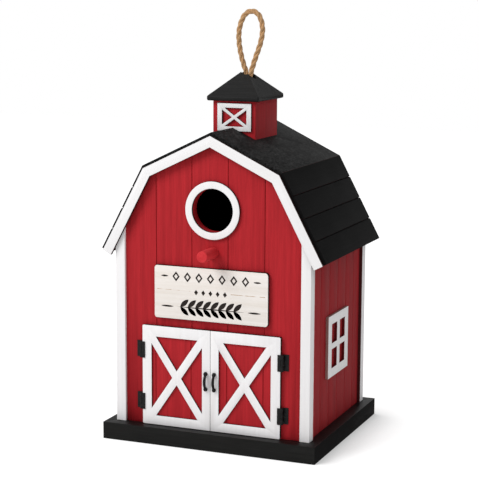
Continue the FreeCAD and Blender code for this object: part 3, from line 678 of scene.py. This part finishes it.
def arrayTree(name, under=False):
    sockets = {"Shape": "Object", "Count": "Int", "Row": "Int", "Material": "Material",
               "Start": "Vector", "Step": "Vector", "Row Step": "Vector", "Turn": "Vector"}
    if under:
        sockets.update({"Under Limit": "Float", "Under Material": "Material"})
    tree, given, result = newTree(name, sockets)
    number = new(tree, "GeometryNodeInputIndex")
    inRow = calc(tree, "MODULO", number, given["Row"])
    row = calc(tree, "FLOOR", calc(tree, "DIVIDE", number, given["Row"]))
    place = vectorCalc(tree, "ADD", given["Start"], vectorCalc(
        tree, "ADD", scaled(tree, given["Step"], inRow), scaled(tree, given["Row Step"], row)))
    points = new(tree, "GeometryNodePoints", {"Count": given["Count"], "Position": place})
    shape = add(tree, "GeometryNodeObjectInfo", {"Object": given["Shape"]})
    turn = new(tree, "FunctionNodeEulerToRotation", {0: given["Turn"]})
    copies = new(tree, "GeometryNodeInstanceOnPoints", {
        "Points": points, "Instance": shape.outputs["Geometry"], "Rotation": turn})
    whole = new(tree, "GeometryNodeRealizeInstances", {"Geometry": copies})
    whole = coated(tree, whole, given["Material"])
    if under:
        normal = new(tree, "GeometryNodeInputNormal")
        down = add(tree, "ShaderNodeSeparateXYZ", {0: normal}).outputs[2]
        chosen = new(tree, "FunctionNodeCompare", {0: down, 1: given["Under Limit"]},
                     operation="LESS_THAN", data_type="FLOAT")
        whole = coated(tree, whole, given["Under Material"], chosen)
    tree.links.new(whole, result)
    return tree


arrayRow = arrayTree("arrayRow")
courseRow = arrayTree("roofCourses", under=True)


def repeated(name, tree, mesh, values):
    shape = meshPiece(name + "Shape", mesh)
    piece = grow(name, tree, {"Row": values["Count"], "Shape": shape, **values})
    bpy.data.objects.remove(shape)
    return piece


# undersides take the dark soffit red, partly paint and partly painted shade
def undersideRule(normal, centre):
    return 1 if normal.z < roof["soffit"] and abs(normal.y) < roof["gable"] else 0


def makeRoof():
    for side in sides:
        first, second, third, last = ["roof_course_%s_%d" % (side, number)
                                      for number in (1, 2, 3, 4)]
        for node, ease, paint in (("ridge_board_" + side, roof["ridgeEase"], blackRoof),
                                  (first, roof["courseEase"], blackCourse)):
            board(node, ease, [paint, soffitPaintAndShade], undersideRule)
        one = eased("courseShape", second, roof["courseEase"], [blackCourse])
        mesh = plainMesh(one, "courseShape")
        bpy.data.objects.remove(one)
        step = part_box(third)[0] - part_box(second)[0]
        piece = repeated(camel("roof_courses", side), courseRow, mesh, {
            "Count": 3, "Step": step, "Material": blackCourse, "Under Limit": roof["soffit"],
            "Under Material": soffitPaintAndShade})
        settle(piece, "house", [second, third, last])


makeRoof()


# Rake trim on both gables, white on its face and charred on its sawn edges

trim = {"ease": 0.0002, "mitre": 0.0001, "pitch": {"upper": 25.8, "lower": 62.0}}


def mitreWeight():
    # the mitres at the ridge and the knuckles stay closed, so their edges aren't eased
    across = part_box("ridge_board_right")[1].x
    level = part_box("roof_course_right_1")[1].z
    lean = radians(sum(trim["pitch"].values()) / 2)

    def weight(place):
        off = (abs(place.x) - across) * cos(lean) - (place.z - level) * sin(lean)
        return 0.0 if min(abs(off), abs(place.x)) < trim["mitre"] else 1.0
    return weight


def makeTrim():
    weight = mitreWeight()
    for end in ("front", "back"):
        for part, pitch in trim["pitch"].items():
            for side, hand in sides.items():
                paint = paintedWood(camel("white_trim", end, part, side), whiteLook,
                                    90 + hand * pitch)
                board("rake_trim_%s_%s_%s" % (end, part, side), trim["ease"],
                      [paint, charredEdge], facing(outward[end]), weight)


makeTrim()
print("roof and trim ready")


# Turned pieces: the entrance ring, the perch, magnets, strike discs, hinge pins and screws

def circle(segments):
    turns = [tau * i / segments for i in range(segments)]
    return [(cos(turn), sin(turn)) for turn in turns]


def joinRows(grid, rows, ring=False):
    # a row of one vertex is a pole, and ring joins the last row to the first
    segments = max(len(row) for row in rows)
    for first, second in list(zip(rows, rows[1:])) + ([(rows[-1], rows[0])] if ring else []):
        for i in range(segments):
            j = (i + 1) % segments
            corners = [first[i % len(first)], first[j % len(first)],
                       second[j % len(second)], second[i % len(second)]]
            grid.faces.new(list(dict.fromkeys(corners)))
    bmesh.ops.recalc_face_normals(grid, faces=grid.faces)


def turned(name, profile, segments, centre=(0, 0, 0), upright=False, ring=False):
    # profile holds (radius, distance along the axis), toward -Y or, upright, toward +Z
    grid = bmesh.new()
    rows = [[grid.verts.new((radius * x, radius * y, along))
             for x, y in (circle(segments) if radius else [(0, 0)])]
            for radius, along in profile]
    joinRows(grid, rows, ring)
    turn = Euler((0 if upright else pi / 2, 0, 0))
    grid.transform(Matrix.Translation(centre) @ turn.to_matrix().to_4x4())
    return closeMesh(grid, name)


def rounded(radius, height, ease, steps=4):
    # a turned profile of this height with quarter-round shoulders
    turns = [pi / 2 * i / steps for i in range(steps + 1)]
    lower = [(radius - ease * (1 - sin(turn)), ease * (1 - cos(turn))) for turn in turns]
    upper = [(radius - ease * (1 - cos(turn)), height - ease * (1 - sin(turn)))
             for turn in turns]
    return [(0, 0.0)] + lower + upper + [(0, height)]


entranceRing = {"band": 0.0062, "ease": 0.0005, "segments": 128, "steps": 4, "facing": 0.55}
perch = {"ease": 0.0009, "segments": 48}
disc = {"ease": 0.0003, "fullHeight": 0.001, "segments": 40}


def makeRing():
    low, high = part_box("entrance_ring")
    middle = (low + high) / 2
    outer = (high.x - low.x) / 2
    depth = high.y - low.y
    inner = outer - entranceRing["band"]
    ease, steps = entranceRing["ease"], entranceRing["steps"]
    profile = [(inner, 0.0)]
    for base, way in ((inner + ease, -1), (outer - ease, 1)):
        for i in range(steps + 1):
            turn = pi / 2 * i / steps
            turn = turn if way < 0 else pi / 2 - turn
            profile.append((base + way * ease * cos(turn), depth - ease * (1 - sin(turn))))
    profile.append((outer, 0.0))
    mesh = turned("entranceRing", profile, entranceRing["segments"],
                  (middle.x, high.y, middle.z), ring=True)
    mesh.materials.append(whitePaint)
    mesh.materials.append(charredEdge)
    for face in mesh.polygons:
        face.material_index = 0 if face.normal.y < -entranceRing["facing"] else 1
    settle(meshPiece("entranceRing", mesh), "house", ["entrance_ring"])


def makePerch():
    low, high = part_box("perch")
    middle = (low + high) / 2
    profile = rounded((high.x - low.x) / 2, high.y - low.y, perch["ease"])
    mesh = turned("perch", profile, perch["segments"], (middle.x, high.y, middle.z))
    mesh.materials.append(redPerchLit)
    settle(meshPiece("perch", mesh), "house", ["perch"])


def makeDiscs():
    for node, count in (("door_magnets", 2), ("left_strike_plate", 1),
                        ("right_strike_plate", 1)):
        low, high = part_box(node)
        radius = (high.z - low.z) / 2
        height = high.y - low.y
        ease = disc["ease"] * min(1.0, height / disc["fullHeight"])
        mesh = turned(node, rounded(radius, height, ease), disc["segments"])
        piece = repeated(camel(node), arrayRow, mesh, {
            "Count": count, "Start": (low.x + radius, high.y, (low.z + high.z) / 2),
            "Step": (high.x - low.x - 2 * radius, 0, 0), "Material": steel})
        settle(piece, bodyOf[node], [node])


makeRing()
makePerch()
makeDiscs()
print("ring, perch and discs ready")


# Doors: a red grooved panel, a white braced frame, hinge leaves and a bowed pull on each

door = {"panelEase": 0.00012, "frameEase": 0.00025}
hinge = {"ease": 0.00014, "pinEase": 0.0004, "segments": 24}
pull = {"neck": 0.0009, "middle": 0.0013, "ball": 0.0018, "lift": 0.0012, "points": 56,
        "segments": 20, "gap": 0.00002}


def makeHinges():
    for side in sides:
        for level in ("lower", "upper"):
            for leaf in ("wall", "door"):
                board("hinge_%s_leaf_%s_%s" % (leaf, level, side), hinge["ease"], [blackMetal])
    low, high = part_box("hinge_pins")
    leafLow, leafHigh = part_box("hinge_wall_leaf_lower_left")
    radius = (high.y - low.y) / 2
    height = leafHigh.z - leafLow.z
    mesh = turned("hingePin", rounded(radius, height, hinge["pinEase"]), hinge["segments"],
                  upright=True)
    piece = repeated("hingePins", arrayRow, mesh, {
        "Count": 4, "Row": 2, "Start": (low.x + radius, low.y + radius, low.z),
        "Step": (high.x - low.x - 2 * radius, 0, 0),
        "Row Step": (0, 0, high.z - low.z - height), "Material": blackMetal})
    settle(piece, "house", ["hinge_pins"])


def swept(name, points, radii, segments):
    # the path lies in a plane of constant X, and closes on a point at each end
    grid = bmesh.new()
    side = Vector((1, 0, 0))
    rows = [[grid.verts.new(points[0])]]
    for before, point, after, radius in zip(points, points[1:], points[2:], radii[1:]):
        across = (after - before).normalized().cross(side)
        rows.append([grid.verts.new(point + radius * (side * x + across * y))
                     for x, y in circle(segments)])
    rows.append([grid.verts.new(points[-1])])
    joinRows(grid, rows)
    return closeMesh(grid, name)


def makePull(side):
    low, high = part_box(side + "_door_pull")
    middle = (low + high) / 2
    face = high.y
    half = (high.z - low.z) / 2
    reach = half - pull["ball"]
    bow = face - pull["lift"] - low.y - pull["middle"]
    points, radii = [], []
    for i in range(pull["points"]):
        along = -cos(pi * i / (pull["points"] - 1)) * half
        share = min(1.0, abs(along) / reach)
        y = face - pull["lift"] - bow * (1 - share ** 2)
        toBall = abs(abs(along) - reach)
        ball = sqrt(max(0.0, pull["ball"] ** 2 - toBall ** 2))
        bar = pull["neck"] + (pull["middle"] - pull["neck"]) * (1 - share ** 2)
        points.append(Vector((middle.x, y, middle.z + along)))
        radii.append(max(ball, bar if abs(along) < reach else 0.0))
    name = camel(side, "door_pull")
    mesh = swept(name, points, radii, pull["segments"])
    for vertex in mesh.vertices:
        vertex.co.y = min(vertex.co.y, face - pull["gap"])
    mesh.materials.append(blackMetal)
    settle(meshPiece(name, mesh), side + "_door", [side + "_door_pull"])


def makeDoors():
    for side in sides:
        node = side + "_door_panel"
        board(node, door["panelEase"], [redFront, grooveRed, redPlain, charredEdge],
              wallRule(node, outward["front"]))
        board(side + "_door_frame", door["frameEase"], [whitePaint, charredEdge],
              facing(outward["front"]))
        makePull(side)


makeDoors()
makeHinges()


# Side windows

windowFrame = {"ease": 0.0003, "rim": 0.0004, "facing": 0.5}


def paneRule(node):
    low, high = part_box(node)

    def rule(normal, centre):
        if abs(normal.x) > windowFrame["facing"]:
            return 0
        past = max(low.y - centre.y, centre.y - high.y, low.z - centre.z, centre.z - high.z)
        # inner edges of the panes take the dark red of painted shade
        return 1 if past < -windowFrame["rim"] else 2
    return rule


def makeWindows():
    for side in sides:
        node = "window_frame_" + side
        board(node, windowFrame["ease"], [whitePaint, paneRedShaded, windowRim],
              paneRule(node))


makeWindows()
print("doors, hinges and windows ready")


# Cupola: its block and roof are bored for the rope

cupola = {"blockEase": 0.0005, "capEase": 0.0007, "frameEase": 0.0002, "boreReach": 0.0090,
          "level": 0.1}


def boredRule(normal, centre):
    start = Vector(ropeRoute[0])
    out = Vector((centre.x - start.x, centre.y, 0))
    near = abs(normal.z) < cupola["level"] and out.length < cupola["boreReach"]
    # the bore's inner faces are painted near black as shade
    if near and out.dot(normal) < 0:
        return 1
    return 2 if abs(normal.x) > boardEdges["facing"] else 0


def makeCupola():
    # painted shade: the block's sides take the darker side red
    board("cupola_block", cupola["blockEase"], [redPlain, insidePaintedShade, redSideShaded],
          boredRule)
    board("cupola_roof", cupola["capEase"], [blackCap, insidePaintedShade, blackCap],
          boredRule)
    board("cupola_cross_frame", cupola["frameEase"], [whitePaint, charredEdge],
          facing(outward["front"]))


makeCupola()
print("cupola ready")


# Sign: cream boards with a plain printed ornament

sign = {"ease": 0.0006, "inkThick": 0.00008, "seam": (190, 164, 138), "seamDrop": 0.45,
        "seamWidth": 0.0003, "seamReach": (0.019, 0.0505), "wearScale": 90.0,
        "wearRange": (0.42, 0.52), "wearLow": 0.1}


def addSeams(material, level):
    # a worn joint line across the board, on both sides of the middle
    tree = material.node_tree
    socket = tree.nodes["Principled BSDF"].inputs["Base Color"]
    place = add(tree, "ShaderNodeTexCoord").outputs["Object"]
    x, y, z = add(tree, "ShaderNodeSeparateXYZ", {0: place}).outputs
    away = calc(tree, "ABSOLUTE", calc(tree, "SUBTRACT", z, level))
    line = calc(tree, "LESS_THAN", away, sign["seamWidth"])
    reach = calc(tree, "ABSOLUTE", x)
    near, far = sign["seamReach"]
    line = calc(tree, "MULTIPLY", line, calc(tree, "GREATER_THAN", reach, near))
    line = calc(tree, "MULTIPLY", line, calc(tree, "LESS_THAN", reach, far))
    worn = ranged(tree, noise(tree, place, sign["wearScale"]), sign["wearLow"], 1.0,
                  *sign["wearRange"])
    color = mixed(tree, calc(tree, "MULTIPLY", line, worn), socket.links[0].from_socket,
                  rgb(sign["seam"]))
    tree.links.new(color, socket)


def inlay(name, outline, hole=None):
    # a thin printed shape that stands on the sign's face, drawn in X and Z
    front, back = -sign["inkThick"], 0.0
    grid = bmesh.new()
    loops = [[[grid.verts.new((x, y, z)) for x, z in shape] for y in (front, back)]
             for shape in [outline] + ([hole] if hole else [])]
    count = len(outline)
    for near, far in loops:
        for i in range(count):
            j = (i + 1) % count
            grid.faces.new((near[i], near[j], far[j], far[i]))
    for depth in (0, 1):
        if not hole:
            grid.faces.new(loops[0][depth])
            continue
        outer, inner = loops[0][depth], loops[1][depth]
        for i in range(count):
            j = (i + 1) % count
            grid.faces.new((outer[i], outer[j], inner[j], inner[i]))
    bmesh.ops.recalc_face_normals(grid, faces=grid.faces)
    return closeMesh(grid, name, smooth=False)


def diamond(width, height):
    return [(width, 0), (0, height), (-width, 0), (0, -height)]


bladeShape = {"points": 7, "fullness": 0.8}


def blade(length, width):
    # a leaf or a tapered dash from the origin along +X
    points = bladeShape["points"]
    top = [(length * i / points,
            width / 2 * sin(pi * i / points) ** bladeShape["fullness"])
           for i in range(1, points)]
    return [(0, 0)] + top + [(length, 0)] + [(x, -z) for x, z in reversed(top)]


ornament = {
    "diamonds": {"count": 7, "drop": 0.0091, "half": 0.0325, "size": (0.0034, 0.0044),
                 "hollow": 0.52},
    "dots": {"count": 5, "drop": 0.0219, "half": 0.0135, "size": (0.0018, 0.0024)},
    "leaves": {"count": 8, "drop": 0.0358, "half": 0.0285, "size": (0.0106, 0.0041),
               "lean": 42.0},
    "stem": {"drop": 0.0358, "half": 0.0315, "width": 0.0011},
    "dashes": {"drops": (0.0091, 0.0358), "starts": (0.0398, 0.0346),
               "lengths": (0.0071, 0.0123), "width": 0.0016},
}


def makeOrnament():
    low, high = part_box("sign_board")
    middle, top, face = (low.x + high.x) / 2, high.z, low.y

    def row(name, mesh, start, drop, step, count, turn=(0, 0, 0)):
        piece = repeated(camel("sign", name), arrayRow, mesh, {
            "Count": count, "Start": (middle - start, face, top - drop),
            "Step": (step, 0, 0), "Turn": turn, "Material": signInk})
        settle(piece, "house", [])

    for name in ("diamonds", "dots"):
        entry = ornament[name]
        outline = diamond(*entry["size"])
        share = entry.get("hollow")
        hole = [(x * share, z * share) for x, z in outline] if share else None
        row(name, inlay(name, outline, hole), entry["half"], entry["drop"],
            2 * entry["half"] / (entry["count"] - 1), entry["count"])
    leaves = ornament["leaves"]
    lean = radians(leaves["lean"])
    for name, turn in (("leavesUpper", (0, -lean, 0)), ("leavesLower", (pi, lean, 0))):
        row(name, inlay(name, blade(*leaves["size"])), leaves["half"], leaves["drop"],
            2 * leaves["half"] / leaves["count"], leaves["count"], turn)
    stem = ornament["stem"]
    row("stem", inlay("stem", blade(2 * stem["half"], stem["width"])), stem["half"],
        stem["drop"], 0, 1)
    dashes = ornament["dashes"]
    for number, (drop, start, length) in enumerate(zip(
            dashes["drops"], dashes["starts"], dashes["lengths"])):
        row("dashes%d" % number, inlay("dash", blade(length, dashes["width"])),
            start + length, drop, 2 * start + length, 2)


def makeSign():
    low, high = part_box("sign_board")
    addSeams(cream, high.z - sign["seamDrop"] * (high.z - low.z))
    board("sign_board", sign["ease"], [cream, charredEdge],
          facing(outward["front"]))
    makeOrnament()


makeSign()
print("sign ready")


# Screws up through the base: countersunk, with a crossed drive and a ridged shank

screw = {"head": 0.0033, "headHeight": 0.0022, "headEdge": 0.97, "recess": 0.0003,
         "shank": 0.0016, "ridge": 0.0003, "pitch": 0.0012, "root": 0.3, "crest": 0.9,
         "point": 0.0035, "plain": 0.004, "slotWide": 0.0009, "slotLong": 0.0036,
         "slotDeep": 0.0013, "segments": 32}


def makeScrews():
    low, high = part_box("base_screws")
    head, shank, pitch = screw["head"], screw["shank"], screw["pitch"]
    length = high.z - low.z
    along = screw["headHeight"] + screw["plain"]
    profile = [(0, 0), (head * screw["headEdge"], 0), (head, screw["recess"] / 2),
               (shank, screw["headHeight"]), (shank, along)]
    while along + pitch < length - screw["point"]:
        profile.append((shank - screw["ridge"], along + pitch * screw["root"]))
        profile.append((shank, along + pitch * screw["crest"]))
        along += pitch
    profile += [(shank - screw["ridge"], length - screw["point"]), (0, length)]
    body = meshPiece("screwBody", turned("screwBody", profile, screw["segments"],
                                         upright=True))
    grid = bmesh.new()
    for long, wide in ((screw["slotLong"], screw["slotWide"]),
                       (screw["slotWide"], screw["slotLong"])):
        size = Matrix.Diagonal((long, wide, 2 * screw["slotDeep"], 1))
        bmesh.ops.create_cube(grid, size=1.0, matrix=size)
    slots = meshPiece("screwSlots", closeMesh(grid, "screwSlots"))
    drive = body.modifiers.new("drive", "BOOLEAN")
    drive.operation = "DIFFERENCE"
    drive.solver = "EXACT"
    drive.use_self = True
    drive.object = slots
    mesh = plainMesh(body, "screw")
    for spent in (body, slots):
        bpy.data.objects.remove(spent)
    piece = repeated("baseScrews", arrayRow, mesh, {
        "Count": 4, "Row": 2, "Start": (low.x + head, low.y + head, low.z),
        "Step": (high.x - low.x - 2 * head, 0, 0),
        "Row Step": (0, high.y - low.y - 2 * head, 0), "Material": steel})
    settle(piece, "house", ["base_screws"])


makeScrews()
print("screws ready")


# Studio: a pale floor with a painted contact shadow, one large soft light and a bright room

studio = {"floorSize": 6.0, "floorRoughness": 0.8, "floorGlow": 0.82, "floorSeen": 0.45,
          "floorAlbedo": 0.92,
          "shadeReach": 0.045, "shadeFrom": (-0.66, -0.3, 0.69), "shadeDepth": 0.3,
          "shadeRange": (0.2, 0.95), "roomLight": 0.6, "keyPower": 28.5, "keySize": 1.1,
          "keyDistance": 2.2, "keyFrom": (-0.5, -0.62, 0.66)}


def makeFloor():
    half = studio["floorSize"] / 2
    mesh = bpy.data.meshes.new("studioFloor")
    mesh.from_pydata([(-half, -half, 0), (half, -half, 0), (half, half, 0), (-half, half, 0)],
                     [], [(0, 1, 2, 3)])
    floor = meshPiece("studioFloor", mesh)
    material, tree, shader = startMaterial("studioFloor", studio["floorRoughness"], 0.0)
    seen = add(tree, "ShaderNodeLightPath").outputs["Is Camera Ray"]
    share = ranged(tree, seen, studio["floorAlbedo"], studio["floorSeen"])
    tree.links.new(share, shader.inputs["Base Color"])
    shader.inputs["Emission Color"].default_value = (1, 1, 1, 1)
    # painted shadow: the floor's glow dims where ambient occlusion toward the light is
    # blocked, near the house
    toward = new(tree, "ShaderNodeCombineXYZ", dict(enumerate(studio["shadeFrom"])))
    nearby = add(tree, "ShaderNodeAmbientOcclusion", {
        "Distance": studio["shadeReach"], "Normal": toward}).outputs["AO"]
    glow = ranged(tree, nearby, studio["shadeDepth"], 1.0, *studio["shadeRange"])
    glow = calc(tree, "MULTIPLY", glow, ranged(tree, seen, 0.0, studio["floorGlow"]))
    tree.links.new(glow, shader.inputs["Emission Strength"])
    mesh.materials.append(material)


def makeRoom():
    world = bpy.data.worlds.new("studioRoom")
    world.use_nodes = True
    tree = world.node_tree
    background = tree.nodes["Background"]
    seen = add(tree, "ShaderNodeLightPath").outputs["Is Camera Ray"]
    tree.links.new(ranged(tree, seen, studio["roomLight"], 1.0), background.inputs["Strength"])
    background.inputs["Color"].default_value = (1, 1, 1, 1)
    scene.world = world


def makeKeyLight():
    data = bpy.data.lights.new("keyLight", "AREA")
    data.shape = "DISK"
    data.size = studio["keySize"]
    data.energy = studio["keyPower"]
    key = bpy.data.objects.new("keyLight", data)
    scene.collection.objects.link(key)
    low, high = cadBounds
    aim = (Vector(low) + Vector(high)) / 2
    way = Vector(studio["keyFrom"]).normalized()
    key.location = aim + way * studio["keyDistance"]
    key.rotation_euler = way.to_track_quat("Z", "Y").to_euler()


makeFloor()
makeRoom()
makeKeyLight()
scene.view_settings.view_transform = "Standard"
print("studio ready")
